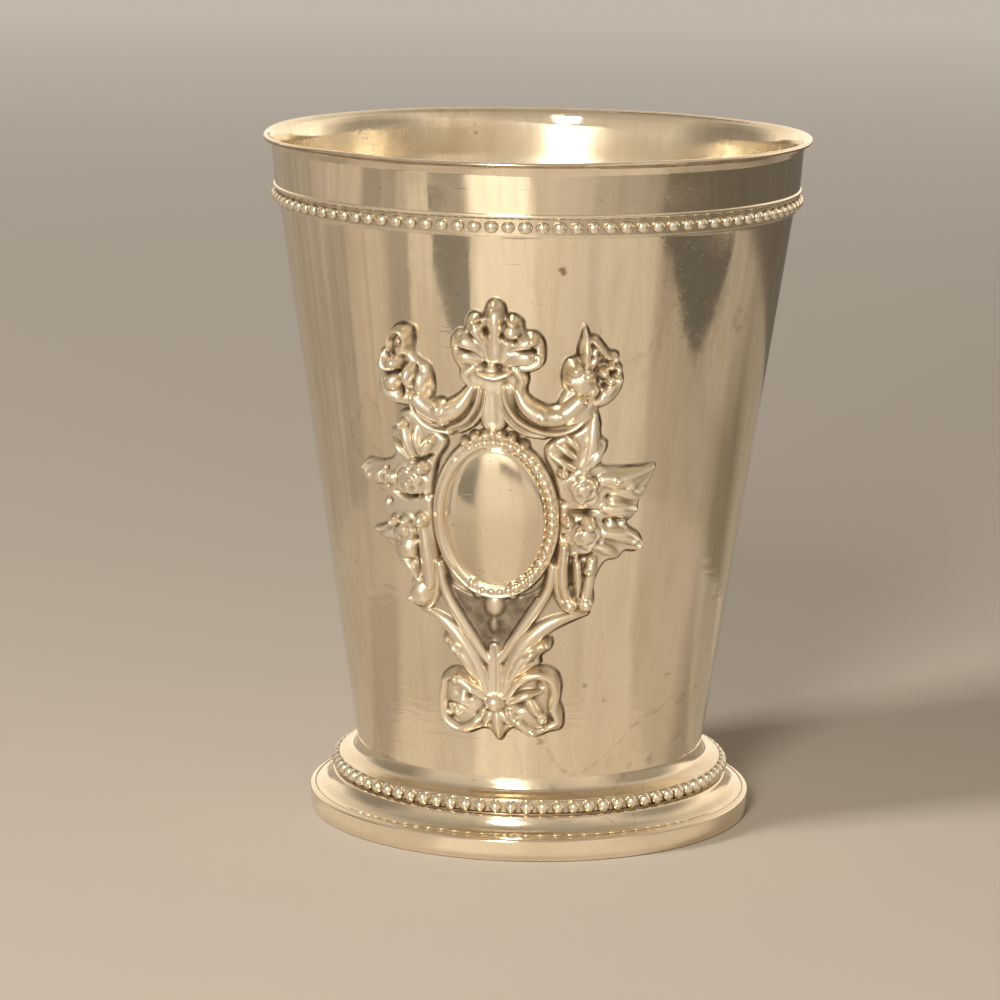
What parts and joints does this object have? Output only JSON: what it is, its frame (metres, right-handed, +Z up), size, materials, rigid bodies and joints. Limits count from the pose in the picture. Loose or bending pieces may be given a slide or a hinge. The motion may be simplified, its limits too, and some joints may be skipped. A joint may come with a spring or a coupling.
{
  "type": "julep cup",
  "caption": "Tapered silver-plated drinking cup with a wired lip, pearled mouldings, a stepped hollow foot and a raised cartouche of scrolls, flowers and ribbon.",
  "frame": {"origin": "on the table under the centre of the foot", "axes": "+Z up along the cup's axis; the cartouche faces -Y; +X is to the right when facing the cartouche"},
  "size_m": [0.081, 0.081, 0.102],
  "materials": {
    "plate": "polished, lightly worn and tarnished",
    "beading": "polished, dark between the pearls",
    "casting": "polished high parts, dark patina in the hollows"
  },
  "bodies": {
    "root": {"cup_body": "plate", "rim_wire": "plate", "foot_shell": "plate", "oval_boss": "plate", "rim_pearl_moulding": "beading", "foot_pearl_moulding": "beading", "oval_pearl_frame": "beading", "crest_palmette": "casting", "strapwork": "casting", "scroll_arm_right": "casting", "acanthus_bud_right": "casting", "flower_spray_right": "casting", "lower_leaf_right": "casting", "scroll_arm_left": "casting", "acanthus_bud_left": "casting", "flower_spray_left": "casting", "lower_leaf_left": "casting", "ribbon_bow": "casting"}
  },
  "joints": []
}
